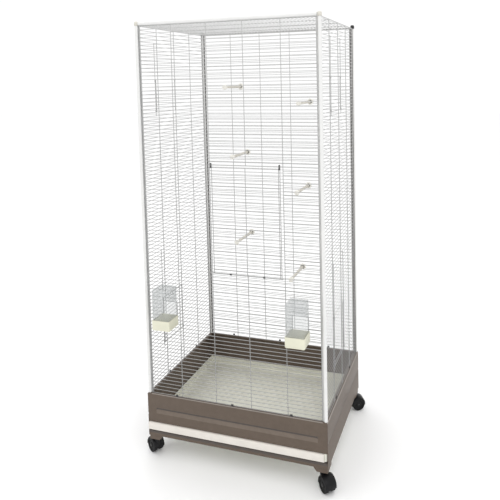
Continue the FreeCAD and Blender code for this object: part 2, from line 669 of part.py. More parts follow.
doc.recompute()
for item in doc.Objects:
    if "Invalid" in item.State or "Error" in item.State:
        raise RuntimeError("%s did not compute" % item.Label)
for item in nodes:
    if item.Shape.isNull() or not item.Shape.isValid() or not item.Shape.Solids:
        raise RuntimeError("%s has no valid solid" % item.Label)
    item.Shape.exportStep("parts/%s.step" % item.Label)
print("%d sub-parts" % len(nodes))
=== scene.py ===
import json
import math

import bmesh
import bpy
from mathutils import Matrix, Vector


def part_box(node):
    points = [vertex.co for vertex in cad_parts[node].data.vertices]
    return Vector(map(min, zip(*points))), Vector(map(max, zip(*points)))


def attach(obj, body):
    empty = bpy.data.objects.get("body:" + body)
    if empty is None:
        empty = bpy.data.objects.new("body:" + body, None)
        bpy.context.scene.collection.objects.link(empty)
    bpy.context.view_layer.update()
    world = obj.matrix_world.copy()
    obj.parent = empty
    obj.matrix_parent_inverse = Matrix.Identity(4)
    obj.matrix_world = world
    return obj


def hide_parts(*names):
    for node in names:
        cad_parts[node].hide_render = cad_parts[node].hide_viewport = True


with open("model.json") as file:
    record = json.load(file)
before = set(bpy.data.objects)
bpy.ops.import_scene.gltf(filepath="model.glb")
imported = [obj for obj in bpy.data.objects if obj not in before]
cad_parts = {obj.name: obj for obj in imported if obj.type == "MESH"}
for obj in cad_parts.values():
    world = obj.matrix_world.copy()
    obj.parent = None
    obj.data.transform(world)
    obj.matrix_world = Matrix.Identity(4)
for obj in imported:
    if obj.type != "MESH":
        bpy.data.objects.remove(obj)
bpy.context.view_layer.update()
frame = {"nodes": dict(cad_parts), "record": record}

MM = 0.001
ROWS = 99                      # spaces between the horizontal wires of an upright panel
FRONT_BAYS = 5
SIDE_BAYS = 4
WIRE_R = 1.0 * MM              # horizontal wire
UPRIGHT_R = 1.3 * MM           # vertical wire
WELD = 1.8 * MM                # distance between the two layers of wire

PROPS = {name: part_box(name) for name in frame["nodes"]}


def low(node):
    return PROPS[node][0]


def high(node):
    return PROPS[node][1]


def middle(node):
    return (PROPS[node][0] + PROPS[node][1]) / 2


# ---------------------------------------------------------------- mesh building

class Build:
    """Collects vertices and faces of one piece, with a material index for each face."""

    def __init__(self):
        self.verts = []
        self.faces = []
        self.slots = []
        self.slot = 0

    def add(self, verts, faces, slots):
        start = len(self.verts)
        self.verts += [Vector(v) for v in verts]
        self.faces += [tuple(start + i for i in face) for face in faces]
        self.slots += slots

    def loft(self, rings, edge_slots=None):
        """Joins closed rings of equal point counts, and closes both ends.

        edge_slots gives some edges of the ring another material, as one table or one per stretch."""
        count = len(rings[0])
        verts = [p for ring in rings for p in ring]
        faces = []
        slots = []
        for i in range(len(rings) - 1):
            table = edge_slots[i] if isinstance(edge_slots, list) else edge_slots or {}
            for j in range(count):
                k = (j + 1) % count
                faces.append((i * count + j, i * count + k, (i + 1) * count + k, (i + 1) * count + j))
                slots.append(table.get(j, self.slot))
        faces.append(tuple(reversed(range(count))))
        faces.append(tuple((len(rings) - 1) * count + j for j in range(count)))
        slots += [self.slot] * 2
        self.add(verts, faces, slots)

    def rod(self, a, b, radius, sides=8, dome=0.35):
        """A straight round wire with slightly rounded ends."""
        a, b = Vector(a), Vector(b)
        way = (b - a).normalized()
        end = way * min(radius * dome, (b - a).length / 4)
        self.sweep([a, a + end, b - end, b], [radius * 0.72, radius, radius, radius * 0.72], sides)

    def sweep(self, path, radius, sides=8):
        """A round bar along a path; radius is one number or one per point."""
        path = [Vector(p) for p in path]
        radii = radius if isinstance(radius, (list, tuple)) else [radius] * len(path)
        tangents = []
        for i in range(len(path)):
            before = path[max(i - 1, 0)]
            after = path[min(i + 1, len(path) - 1)]
            tangents.append((after - before).normalized())
        side = tangents[0].orthogonal().normalized()
        rings = []
        for point, tangent, r in zip(path, tangents, radii):
            side = (side - tangent * side.dot(tangent)).normalized()
            up = tangent.cross(side)
            ring = []
            for k in range(sides):
                angle = 2 * math.pi * k / sides
                ring.append(point + (side * math.cos(angle) + up * math.sin(angle)) * r)
            rings.append(ring)
        self.loft(rings)

    def lathe(self, profile, origin, axis, sides=32):
        """Turns (distance along axis, radius) points round an axis."""
        axis = Vector(axis).normalized()
        side = axis.orthogonal().normalized()
        up = axis.cross(side)
        rings = []
        for along, radius in profile:
            ring = []
            for k in range(sides):
                angle = 2 * math.pi * k / sides
                around = side * math.cos(angle) + up * math.sin(angle)
                ring.append(Vector(origin) + axis * along + around * max(radius, 1e-5))
            rings.append(ring)
        self.loft(rings)

    def extrude(self, outline, start, end, axes="yz", edge_slots=None):
        """A closed 2-D outline drawn in the named axes, run along the third axis."""
        third = [a for a in "xyz" if a not in axes][0]
        rings = []
        for along in (start, end):
            ring = []
            for u, v in outline:
                place = {axes[0]: u, axes[1]: v, third: along}
                ring.append(Vector((place["x"], place["y"], place["z"])))
            rings.append(ring)
        self.loft(rings, edge_slots=edge_slots)

    def piece(self, name, materials, body, node=None, slot=None, angle=35):
        mesh = bpy.data.meshes.new(name)
        mesh.from_pydata([tuple(v) for v in self.verts], [], self.faces)
        mesh.validate()
        obj = bpy.data.objects.new(name, mesh)
        bpy.context.scene.collection.objects.link(obj)
        for material in materials:
            mesh.materials.append(material)
        for polygon, index in zip(mesh.polygons, self.slots):
            polygon.material_index = index
        fix_normals(mesh)
        mesh.shade_smooth()
        mesh.set_sharp_from_angle(angle=math.radians(angle))
        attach(obj, body)
        if node:
            for one in ([node] if isinstance(node, str) else node):
                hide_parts(one)
        return obj


def fix_normals(mesh):
    work = bmesh.new()
    work.from_mesh(mesh)
    bmesh.ops.recalc_face_normals(work, faces=work.faces)
    work.to_mesh(mesh)
    work.free()


def arc(centre, radius, start, end, steps):
    """Points on a circle in a plane, angles in degrees."""
    points = []
    for i in range(steps + 1):
        angle = math.radians(start + (end - start) * i / steps)
        points.append((centre[0] + radius * math.cos(angle), centre[1] + radius * math.sin(angle)))
    return points


# ---------------------------------------------------------------- materials

PAINTED_SHADE_TOP = 1.6                 # height at which the painted shade's ramp ends
SATIN = 0.18                   # specular level of the base's enamel and the castors' plastic


def surface(name, colour, roughness, spread=0.04, grain=60.0, bump=0.05, metallic=0.0, coat=0.0,
            specular=0.5, streak=(1.0, 1.0, 1.0), painted_shade=None):
    """A procedural finish: two scales of noise vary colour and roughness, a fine one gives bump.

    Two (height, brightness) pairs, if given, paint shade into the finish, darker lower down."""
    material = bpy.data.materials.new(name)
    material.use_nodes = True
    nodes, links = material.node_tree.nodes, material.node_tree.links
    shader = nodes["Principled BSDF"]
    shader.inputs["Metallic"].default_value = metallic
    shader.inputs["Coat Weight"].default_value = coat
    shader.inputs["Coat Roughness"].default_value = 0.15
    shader.inputs["Specular IOR Level"].default_value = specular
    place = nodes.new("ShaderNodeTexCoord")
    scale = nodes.new("ShaderNodeMapping")
    scale.inputs["Scale"].default_value = streak
    links.new(place.outputs["Object"], scale.inputs["Vector"])
    broad = noise(nodes, links, scale, grain * 0.12, 3)
    fine = noise(nodes, links, scale, grain, 5)
    tint = nodes.new("ShaderNodeValToRGB")
    dark = [c * (1 - spread) for c in colour]
    light = [min(c * (1 + spread * 0.6), 1.0) for c in colour]
    tint.color_ramp.elements[0].position = 0.3
    tint.color_ramp.elements[0].color = (*dark, 1)
    tint.color_ramp.elements[1].position = 0.7
    tint.color_ramp.elements[1].color = (*light, 1)
    links.new(broad.outputs["Fac"], tint.inputs["Fac"])
    colour_out = tint.outputs["Color"]
    # painted shade: the colour is multiplied by a grey ramp that darkens it lower down
    if painted_shade is not None:
        height = nodes.new("ShaderNodeSeparateXYZ")
        links.new(place.outputs["Object"], height.inputs["Vector"])
        tone = nodes.new("ShaderNodeValToRGB")
        for element, (at, brightness) in zip(tone.color_ramp.elements, painted_shade):
            element.position = at / PAINTED_SHADE_TOP
            element.color = (brightness, brightness, brightness, 1)
        share = nodes.new("ShaderNodeMath")
        share.operation = "DIVIDE"
        share.inputs[1].default_value = PAINTED_SHADE_TOP
        links.new(height.outputs["Z"], share.inputs[0])
        links.new(share.outputs[0], tone.inputs["Fac"])
        blend = nodes.new("ShaderNodeMix")
        blend.data_type = "RGBA"
        blend.blend_type = "MULTIPLY"
        blend.inputs["Factor"].default_value = 1
        links.new(colour_out, blend.inputs["A"])
        links.new(tone.outputs["Color"], blend.inputs["B"])
        colour_out = blend.outputs["Result"]
    links.new(colour_out, shader.inputs["Base Color"])
    rough = nodes.new("ShaderNodeMapRange")
    rough.inputs["To Min"].default_value = max(roughness - 0.08, 0.03)
    rough.inputs["To Max"].default_value = min(roughness + 0.08, 1)
    links.new(fine.outputs["Fac"], rough.inputs["Value"])
    links.new(rough.outputs["Result"], shader.inputs["Roughness"])
    relief = nodes.new("ShaderNodeBump")
    relief.inputs["Strength"].default_value = bump
    relief.inputs["Distance"].default_value = 0.4 * MM
    links.new(fine.outputs["Fac"], relief.inputs["Height"])
    links.new(relief.outputs["Normal"], shader.inputs["Normal"])
    return material


def noise(nodes, links, mapping, scale, detail):
    node = nodes.new("ShaderNodeTexNoise")
    node.inputs["Scale"].default_value = scale
    node.inputs["Detail"].default_value = detail
    links.new(mapping.outputs["Vector"], node.inputs["Vector"])
    return node


def clear_plastic():
    material = surface("clear_plastic", (0.52, 0.54, 0.54), 0.08, spread=0.02, grain=30, bump=0.03)
    shader = material.node_tree.nodes["Principled BSDF"]
    shader.inputs["Alpha"].default_value = 0.27
    shader.inputs["IOR"].default_value = 1.45
    return material


# painted shade: the white wires are coloured mid grey, darker still towards the bottom of the cage
WHITE_WIRE = surface("white_wire", (0.50, 0.50, 0.495), 0.35, spread=0.03, grain=420, bump=0.08, coat=0.3,
                     painted_shade=((0.4, 0.6), (1.5, 0.95)))
WHITE_ENAMEL = surface("white_enamel", (0.74, 0.74, 0.73), 0.3, spread=0.03, grain=260, bump=0.06, coat=0.4)
PALE_CAP = surface("pale_cap", (0.62, 0.60, 0.54), 0.5, grain=240, bump=0.1)
DARK_CAP = surface("dark_cap", (0.012, 0.012, 0.012), 0.42, spread=0.2, grain=240, bump=0.12)
ROD_STEEL = surface("rod_steel", (0.16, 0.15, 0.145), 0.42, spread=0.2, grain=300, bump=0.08, metallic=0.6,
                    streak=(1, 1, 0.05))
# painted light: paler copies of the rod steel, for the rods at the two front posts
ROD_LIT_GREY = surface("rod_lit_grey", (0.30, 0.30, 0.30), 0.4, spread=0.15, grain=300, bump=0.08, metallic=0.3)
ROD_LIT_PALE = surface("rod_lit_pale", (0.50, 0.50, 0.49), 0.4, spread=0.1, grain=300, bump=0.08)
TAUPE = surface("taupe_enamel", (0.122, 0.094, 0.074), 0.42, spread=0.06, grain=520, bump=0.10,
                specular=SATIN)
# the next three are copies of the taupe enamel with painted light: a painted highlight on the rims, a lit
# slope and painted shade in the creases
TAUPE_RIM_HIGHLIGHT = surface("taupe_rim_highlight", (0.25, 0.22, 0.195), 0.35, spread=0.06, grain=520, bump=0.08, coat=0.2)
TAUPE_LIT_SLOPE = surface("taupe_lit_slope", (0.165, 0.132, 0.107), 0.4, spread=0.07, grain=520, bump=0.10,
                      specular=SATIN)
TAUPE_SHADE = surface("taupe_crease_shade", (0.075, 0.060, 0.052), 0.55, spread=0.08, grain=520, bump=0.10)
LIP_ENAMEL = surface("lip_cream", (0.73, 0.69, 0.635), 0.4, spread=0.04, grain=300, bump=0.08, coat=0.2)
CREAM_TRAY = surface("cream_tray", (0.76, 0.755, 0.665), 0.45, spread=0.04, grain=180, bump=0.06)
CREAM_CUP = surface("cream_cup", (0.70, 0.69, 0.555), 0.4, spread=0.04, grain=200, bump=0.05)
CLEAR = clear_plastic()
BLACK_HOOD = surface("castor_black", (0.010, 0.010, 0.011), 0.35, spread=0.25, grain=260, bump=0.1,
                     specular=SATIN)
BLACK_WHEEL = surface("wheel_black", (0.014, 0.014, 0.014), 0.55, spread=0.3, grain=300, bump=0.2,
                      specular=SATIN)
DARK_AXLE = surface("axle_blackened", (0.05, 0.05, 0.05), 0.35, spread=0.2, grain=300, metallic=0.7)
PERCH = surface("perch_cream", (0.66, 0.63, 0.56), 0.5, spread=0.08, grain=220, bump=0.15,
                streak=(1, 0.15, 1))
KNOB = surface("knob_white", (0.84, 0.82, 0.76), 0.4, spread=0.04, grain=220, bump=0.06)
BOLT = surface("bolt_cream", (0.62, 0.56, 0.44), 0.5, spread=0.06, grain=220, bump=0.1)
LATCH_STEEL = surface("latch_steel", (0.17, 0.17, 0.165), 0.4, spread=0.15, grain=260, bump=0.1, metallic=0.4)
DARK_STEEL = surface("dark_steel", (0.035, 0.034, 0.033), 0.4, spread=0.2, grain=260, bump=0.1)

# ---------------------------------------------------------------- places taken from the frame

post_x = middle("post_front_right").x
front_y = middle("wire_front").y
rear_y = middle("wire_rear").y
cage_y = (front_y + rear_y) / 2
half_depth = (rear_y - front_y) / 2
row_z0 = low("wire_front").z + WIRE_R
pitch = (high("wire_front").z - low("wire_front").z - 2 * WIRE_R) / ROWS


def row(index):
    return row_z0 + pitch * index


def upright_line(first, last, half, bays):
    """Upright places along a panel: its two edges, and the bay lines between the corner posts."""
    inner = [-half + 2 * half * bay / bays for bay in range(1, bays)]
    return [first + UPRIGHT_R] + inner + [last - UPRIGHT_R]


front_uprights = upright_line(low("wire_front").x, high("wire_front").x, post_x, FRONT_BAYS)
side_uprights = upright_line(low("wire_right").y - cage_y, high("wire_right").y - cage_y,
                             half_depth, SIDE_BAYS)


# ---------------------------------------------------------------- wire panels

def wire_grid(build, put, uprights, levels, openings=(), cut_uprights=()):
    """Round wires: levels are the row heights, put(u, v, w) places a point, w is outwards.

    openings are (left, right, first row, last row); cut_uprights are (upright index, first row, last row)."""
    first_u = uprights[0] - UPRIGHT_R
    last_u = uprights[-1] + UPRIGHT_R
    layer = 0.2 * MM
    for index, level in enumerate(levels):
        spans = [(first_u, last_u)]
        for left, right, first, last in openings:
            if first < index < last:
                spans = [piece for a, b in spans for piece in ((a, min(b, left)), (max(a, right), b))
                         if piece[1] - piece[0] > UPRIGHT_R]
        for a, b in spans:
            build.rod(put(a, level, layer), put(b, level, layer), WIRE_R)
    for index, u in enumerate(uprights):
        spans = [(levels[0] - WIRE_R, levels[-1] + WIRE_R)]
        for which, first, last in cut_uprights:
            if which == index:
                spans = [(spans[0][0], levels[first] + WIRE_R), (levels[last] - WIRE_R, spans[0][1])]
        for a, b in spans:
            build.rod(put(u, a, layer - WELD), put(u, b, layer - WELD), UPRIGHT_R)
    for left, right, first, last in openings:
        for u in (left, right):
            if min(abs(u - other) for other in uprights) > 3 * UPRIGHT_R:
                build.rod(put(u, levels[first] - WIRE_R, layer - WELD),
                          put(u, levels[last] + WIRE_R, layer - WELD), UPRIGHT_R)


levels = [row(i) for i in range(ROWS + 1)]
DOOR = (35, 28)                                   # first row and row count of the front doorway
FEEDER_ROWS = (22, 4)
FEEDER_WINDOW = 52 * MM
SIDE_DOORS = {"upper": (76, 9), "lower": (10, 13)}
door_left, door_right = front_uprights[2], front_uprights[4]

front_openings = [(door_left, door_right, DOOR[0], DOOR[0] + DOOR[1])]
for side in ("left", "right"):
    feeder_x = middle("feed_cup_" + side).x
    reach = FEEDER_WINDOW / 2 + UPRIGHT_R
    front_openings.append((feeder_x - reach, feeder_x + reach, FEEDER_ROWS[0], sum(FEEDER_ROWS)))
build = Build()
wire_grid(build, lambda u, v, w: (u, front_y - w, v), front_uprights, levels, front_openings,
          [(3, DOOR[0], sum(DOOR))])
build.piece("front_wires", [WHITE_WIRE], "cage", "wire_front", "white_wire")

build = Build()
wire_grid(build, lambda u, v, w: (u, rear_y + w, v), front_uprights, levels)
build.piece("rear_wires", [WHITE_WIRE], "cage", "wire_rear", "white_wire")

side_openings = [(side_uprights[1], side_uprights[2], first, first + count)
                 for first, count in SIDE_DOORS.values()]
for side, sign in (("left", -1), ("right", 1)):
    build = Build()
    wire_grid(build, lambda u, v, w: (sign * (post_x + w), cage_y + u, v), side_uprights, levels,
              side_openings)
    build.piece(side + "_wires", [WHITE_WIRE], "cage", "wire_" + side, "white_wire")

roof_z = (low("wire_roof").z + high("wire_roof").z) / 2
roof_count = round(2 * post_x / pitch)
roof_levels = [-post_x + 2 * post_x * i / roof_count for i in range(roof_count + 1)]
build = Build()
wire_grid(build, lambda u, v, w: (v, cage_y + u, roof_z + w), side_uprights, roof_levels)
build.piece("roof_wires", [WHITE_WIRE], "cage", "wire_roof", "white_wire")

# ---------------------------------------------------------------- posts, rail, caps, joining rods

for end in ("front", "rear"):
    for side in ("left", "right"):
        node = "post_%s_%s" % (end, side)
        a, b = low(node), high(node)
        centre = (a + b) / 2
        radius = (b.x - a.x) / 2
        build = Build()
        height = b.z - a.z
        build.lathe([(0, radius * 0.8), (1 * MM, radius), (height - 1 * MM, radius), (height, radius * 0.8)],
                    (centre.x, centre.y, a.z), (0, 0, 1))
        build.piece(node + "_tube", [WHITE_ENAMEL], "cage", node, "white_enamel")
    node = "caps_" + end
    a, b = low(node), high(node)
    radius = (b.y - a.y) / 2
    height = b.z - a.z
    build = Build()
    for x in (a.x + radius, b.x - radius):
        profile = [(0, radius * 0.92), (1 * MM, radius), (height * 0.55, radius)]
        profile += [(height * 0.55 + height * 0.45 * math.sin(t), radius * (0.35 + 0.65 * math.cos(t)))
                    for t in (math.radians(15 * i) for i in range(1, 7))]
        build.lathe(profile, (x, (a.y + b.y) / 2, a.z), (0, 0, 1))
    material, slot = (PALE_CAP, "pale_cap") if end == "front" else (DARK_CAP, "dark_cap")
    build.piece(node + "_domes", [material], "cage", node, slot)

a, b = low("top_rail"), high("top_rail")
radius = (b.z - a.z) / 2
length = b.x - a.x
build = Build()
build.lathe([(0, radius * 0.85), (1 * MM, radius), (length - 1 * MM, radius), (length, radius * 0.85)],
            (a.x, (a.y + b.y) / 2, a.z + radius), (1, 0, 0))
build.piece("top_rail_tube", [WHITE_ENAMEL], "cage", "top_rail", "white_enamel")

ROD_R = 2 * MM
ROD_GAP = 0.1 * MM
ROD_SIDES = 12
STEEL, LIT_GREY, LIT_PALE = 0, 1, 2
ROD_TONES = {(-1, -1): LIT_GREY, (1, -1): LIT_PALE}       # the rods at the two front posts are coloured paler: painted light, for the light that falls on them
a, b = low("joining_rods"), high("joining_rods")
rod_reach = post_x - high("wire_front").x - ROD_R - ROD_GAP
build = Build()
for x_sign in (-1, 1):
    for y, y_sign in ((front_y, -1), (rear_y, 1)):
        build.slot = ROD_TONES.get((x_sign, y_sign), STEEL)
        for rod_x, rod_y in ((post_x - rod_reach, y), (post_x, y - y_sign * rod_reach)):
            foot = (x_sign * rod_x, rod_y, a.z)
            build.rod(foot, (x_sign * rod_x, rod_y, b.z - 2 * ROD_R), ROD_R, ROD_SIDES)
build.slot = STEEL
cross_z = b.z - ROD_R
build.rod((low("top_rail").x, rear_y, cross_z), (high("top_rail").x, rear_y, cross_z), ROD_R, ROD_SIDES)
build.piece("joining_rod_set", [ROD_STEEL, ROD_LIT_GREY, ROD_LIT_PALE], "cage", "joining_rods", "rod_steel")

# ---------------------------------------------------------------- front door

door_low, door_high = low("front_door"), high("front_door")
HINGE_R = 1.7 * MM
door_y = (door_low.y + door_high.y) / 2
hinge_z = door_low.z + HINGE_R
door_top = door_high.z - WIRE_R
DOOR_MARGIN = 9 * MM
DOOR_ROW_LAYER = 0.2 * MM      # rows in front of the door's middle plane
DOOR_STILE_LAYER = 1.2 * MM    # uprights behind it
SPARE_UPRIGHT = 5 * MM         # second upright, inside the right one
door_uprights = [door_left + DOOR_MARGIN, front_uprights[3], door_right - DOOR_MARGIN]
door_levels = [hinge_z + (door_top - hinge_z) * i / DOOR[1] for i in range(DOOR[1] + 1)]
build = Build()
for level in door_levels[1:]:
    build.rod((door_uprights[0] - UPRIGHT_R, door_y - DOOR_ROW_LAYER, level),
              (door_uprights[-1] + UPRIGHT_R, door_y - DOOR_ROW_LAYER, level), WIRE_R)
stile_y = door_y + DOOR_STILE_LAYER
for u in door_uprights:
    build.rod((u, stile_y, door_levels[0] - WIRE_R), (u, stile_y, door_top + WIRE_R), UPRIGHT_R)
spare_x = door_uprights[-1] - SPARE_UPRIGHT
build.rod((spare_x, stile_y, door_levels[0]), (spare_x, stile_y, door_top), UPRIGHT_R)
build.rod((door_low.x, door_y, hinge_z), (door_high.x, door_y, hinge_z), HINGE_R, ROD_SIDES)
build.piece("front_door_wires", [WHITE_WIRE], "front_door", "front_door", "white_wire")

build = Build()
a, b = low("hinge_loops"), high("hinge_loops")
LOOP_LENGTH = 8 * MM
loop_radius = (b.z - a.z) / 2
loop_wire = 0.5 * MM
TURNS = 5
TURN_STEPS = 16
for x in (a.x, b.x - LOOP_LENGTH):
    path = []
    for step in range(TURNS * TURN_STEPS + 1):
        angle = 2 * math.pi * step / TURN_STEPS
        path.append((x + loop_wire + (LOOP_LENGTH - 2 * loop_wire) * step / (TURNS * TURN_STEPS),
                     door_y + (loop_radius - loop_wire) * math.cos(angle),
                     hinge_z + (loop_radius - loop_wire) * math.sin(angle)))
    build.sweep(path, loop_wire)
build.piece("hinge_coils", [DARK_STEEL], "cage", "hinge_loops", "white_wire")

a, b = low("latch_pins"), high("latch_pins")
build = Build()
PIN_R = 1.5 * MM
r = (b.z - a.z) / 2
for x in (a.x + r, b.x - r):
    build.lathe([(0, r * 0.6), (0.4 * MM, r), (1 * MM, r), (1 * MM, PIN_R), (b.y - a.y, PIN_R)],
                (x, a.y, (a.z + b.z) / 2), (0, 1, 0), 20)
build.piece("latch_pin_heads", [DARK_STEEL], "front_door", "latch_pins", "dark_steel")
for side in ("left", "right"):
    node = "latch_" + side
    a, b = low(node), high(node)
    half = (b.x - a.x) / 2
    centre_x = (a.x + b.x) / 2
    outline = arc((centre_x, a.z + half), half, 180, 360, 10) + arc((centre_x, b.z - half), half, 0, 180, 10)
    plate_y, plate_back = a.y + 0.6 * MM, a.y + 1.9 * MM
    build = Build()
    build.extrude(outline, plate_y, plate_back, "xz")
    lip = [(plate_y, b.z - 3 * MM), (plate_back, b.z - 3 * MM), (b.y, b.z - 1 * MM), (b.y, b.z),
           (plate_y, b.z - 1.4 * MM)]
    build.extrude(lip, centre_x - half * 0.6, centre_x + half * 0.6, "yz")
    build.piece(node + "_plate", [LATCH_STEEL], node, node, "dark_steel")

# ---------------------------------------------------------------- side doors and their guides

GUIDE_R = 1.25 * MM
EYELET_R = 2.5 * MM
EYELET_LENGTH = 8 * MM
EYELET_PLAY = 0.1 * MM
GUIDE_INSET = 3.5 * MM         # from a guide rod to the door's outer upright
GUIDE_BEND = 2 * MM
GUIDE_FOOT = 1.2 * MM          # outside the posts' line, where a guide rod meets the wires
SIDE_ROW_LAYER = 0.3 * MM
SIDE_STILE_LAYER = 0.9 * MM
guide_build = Build()
for side, sign in (("left", -1), ("right", 1)):
    for level, (first, count) in SIDE_DOORS.items():
        node = "door_%s_%s" % (level, side)
        a, b = low(node), high(node)
        plane = (a.x + b.x) / 2
        guides = (a.y + EYELET_R, b.y - EYELET_R)
        edges = (guides[0] + GUIDE_INSET, guides[1] - GUIDE_INSET)
        row_x = plane + sign * SIDE_ROW_LAYER
        stile_x = plane - sign * SIDE_STILE_LAYER
        build = Build()
        for i in range(count + 1):
            build.rod((row_x, edges[0] - UPRIGHT_R, row(first + i)),
                      (row_x, edges[1] + UPRIGHT_R, row(first + i)), WIRE_R)
        for y in edges:
            build.rod((stile_x, y, row(first) - WIRE_R), (stile_x, y, row(first + count) + WIRE_R), UPRIGHT_R)
        for y in guides:
            for z in (a.z + WIRE_R, b.z - WIRE_R - EYELET_LENGTH):
                inner = GUIDE_R + EYELET_PLAY
                tube = [(0, inner), (0, EYELET_R), (EYELET_LENGTH, EYELET_R), (EYELET_LENGTH, inner),
                        (0, inner)]
                build.lathe(tube, (plane, y, z), (0, 0, 1), 16)
            panel_x = sign * (post_x + GUIDE_FOOT)
            bottom, top = row(first - 1), row(first + 2 * count + 1)
            bend = GUIDE_BEND
            path = [(panel_x, y, bottom), (plane - sign * bend, y, bottom)]
            path += [(plane - sign * bend + sign * bend * math.sin(t), y, bottom + bend - bend * math.cos(t))
                     for t in (math.radians(22.5 * i) for i in range(1, 5))]
            path += [(plane - sign * bend + sign * bend * math.cos(t), y, top - bend + bend * math.sin(t))
                     for t in (math.radians(22.5 * i) for i in range(0, 5))]
            path += [(panel_x, y, top)]
            guide_build.sweep(path, GUIDE_R * 0.96)
        build.piece(node + "_wires", [WHITE_WIRE], node, node, "white_wire")
guide_build.piece("side_door_guides", [WHITE_WIRE], "cage", "door_guides", "white_wire")

# ---------------------------------------------------------------- base

SHEET = 2 * MM
ROLL = 3 * MM                  # radius of the rolled rims
RIM_DROP = 0.6 * MM            # how far a flange's inner edge lies under the rim
HEM = 2 * MM                   # radius of the bottom fold of the sides, the rear and the rail


def folded(path, thickness):
    """A closed outline of sheet metal from its outer face: the path, then the same path offset inwards."""
    offset = []
    for i, point in enumerate(path):
        before = Vector(path[max(i - 1, 0)])
        after = Vector(path[min(i + 1, len(path) - 1)])
        tangent = (after - before).normalized()
        offset.append((point[0] - tangent.y * thickness, point[1] + tangent.x * thickness))
    return list(path) + offset[::-1]


def rim_path(outer, inner, top, direction):
    """From the flange's inner edge, over a rolled rim, to the top of the face."""
    path = [(inner, top - RIM_DROP), (inner + direction * 1 * MM, top)]
    centre = (outer - direction * ROLL, top - ROLL)
    turn = arc(centre, ROLL, 90, 0, 6) if direction > 0 else arc(centre, ROLL, 90, 180, 6)
    return path + turn


base_materials = [TAUPE, TAUPE_RIM_HIGHLIGHT, TAUPE_SHADE, TAUPE_LIT_SLOPE]
RIM_HIGHLIGHT, SHADE, LIT_SLOPE = 1, 2, 3   # painted highlight on the rims, painted shade in the creases and painted light on the groove's slope
SIDE_FOLD = 74 * MM            # from the rim down to the fold
SIDE_STEP = 1.2 * MM           # how far the fold is pressed in
for side, sign in (("left", -1), ("right", 1)):
    node = "base_" + side
    a, b = low(node), high(node)
    outer = sign * max(abs(a.x), abs(b.x))
    inner = sign * min(abs(a.x), abs(b.x))
    fold_z = b.z - SIDE_FOLD
    pressed = outer - sign * SIDE_STEP
    path = rim_path(outer, inner, b.z, sign)
    path += [(outer, fold_z + 2 * MM), (pressed, fold_z), (pressed, fold_z - 3 * MM),
             (outer, fold_z - 7 * MM), (outer, a.z + HEM)]
    start, stop = (0, -90) if sign > 0 else (180, 270)
    path += arc((outer - sign * HEM, a.z + HEM), HEM, start, stop, 4)
    path += [(outer - sign * 8 * MM, a.z)]
    # painted highlight on the rolled rim, painted shade in the pressed fold
    side_slots = {i: RIM_HIGHLIGHT for i in range(2, 8)} | {9: SHADE, 10: SHADE}
    build = Build()
    build.extrude(folded(path, -SHEET * sign), a.y, b.y, "xz", side_slots)
    build.piece(node + "_sheet", base_materials, "cage", node, "taupe_enamel")

front_low, front_high = low("base_front"), high("base_front")
GROOVE_DROP = 51 * MM          # from the rim down to the groove
GROOVE_HEIGHT = 20 * MM
CREASE = 7 * MM                # height of the groove's upper part, painted dark as shade
GROOVE_DEPTH = 4.5 * MM
GROOVE_MARGIN = 35 * MM        # plain sheet beyond each end of the groove
GROOVE_END = 4 * MM            # length of the slope at each end of the groove
FLANGE_EDGE = 4 * MM           # a flange stops this far inside its node's box
FRONT_HEM = 1.5 * MM
outer = front_low.y
path = [(front_high.y - FLANGE_EDGE, front_high.z - RIM_DROP)]
path += arc((outer + ROLL, front_high.z - ROLL), ROLL, 90, 180, 6)
face_x = front_high.x
groove_x = face_x - GROOVE_MARGIN


def front_profile(depth):
    """The front sheet's section; depth is how far the groove is pressed in here."""
    top = front_high.z - GROOVE_DROP
    line = list(path)
    line += [(outer, top + 1 * MM), (outer + depth * 0.1, top), (outer + depth, top - 0.8 * MM),
             (outer + depth * 0.95, top - 2.5 * MM), (outer + depth * 0.71, top - CREASE),
             (outer, top - GROOVE_HEIGHT), (outer, front_low.z + FRONT_HEM)]
    line += arc((outer + FRONT_HEM, front_low.z + FRONT_HEM), FRONT_HEM, 180, 270, 4)
    line += [(outer + 9 * MM, front_low.z)]
    return folded(line, SHEET)


build = Build()
stations = [(-face_x, 0), (-groove_x - GROOVE_END, 0), (-groove_x, GROOVE_DEPTH), (groove_x, GROOVE_DEPTH),
            (groove_x + GROOVE_END, 0), (face_x, 0)]
rings = []
for x, depth in stations:
    rings.append([Vector((x, y, z)) for y, z in front_profile(depth)])
# painted highlight on the rim, painted shade in the groove's upper part and painted light on its slope
rim_slots = {i: RIM_HIGHLIGHT for i in range(2, 6)}
groove_slots = rim_slots | {9: SHADE, 10: SHADE, 11: SHADE, 12: LIT_SLOPE}
build.loft(rings, edge_slots=[rim_slots, groove_slots, groove_slots, groove_slots, rim_slots])
build.piece("base_front_sheet", base_materials, "cage", "base_front", "taupe_enamel", angle=25)

a, b = low("base_rear"), high("base_rear")
path = [(a.y + FLANGE_EDGE, b.z - RIM_DROP)] + arc((b.y - ROLL, b.z - ROLL), ROLL, 90, 0, 6)
path += [(b.y, a.z + HEM)] + arc((b.y - HEM, a.z + HEM), HEM, 0, -90, 4)
path += [(b.y - 10 * MM, a.z)]
build = Build()
build.extrude(folded(path, -SHEET), a.x, b.x, "yz")
build.piece("base_rear_sheet", base_materials, "cage", "base_rear", "taupe_enamel")

a, b = low("lower_rail"), high("lower_rail")
RAIL_SHADOW_BAND = 8.5 * MM           # height of the painted shadow band on the rail, under the tray's lip
path = [(b.y, b.z)] + arc((a.y + ROLL, b.z - ROLL), ROLL, 90, 180, 6) + [(a.y, b.z - RAIL_SHADOW_BAND)]
path += [(a.y, a.z + HEM)] + arc((a.y + HEM, a.z + HEM), HEM, 180, 270, 4)
path += [(a.y + 7 * MM, a.z)]
build = Build()
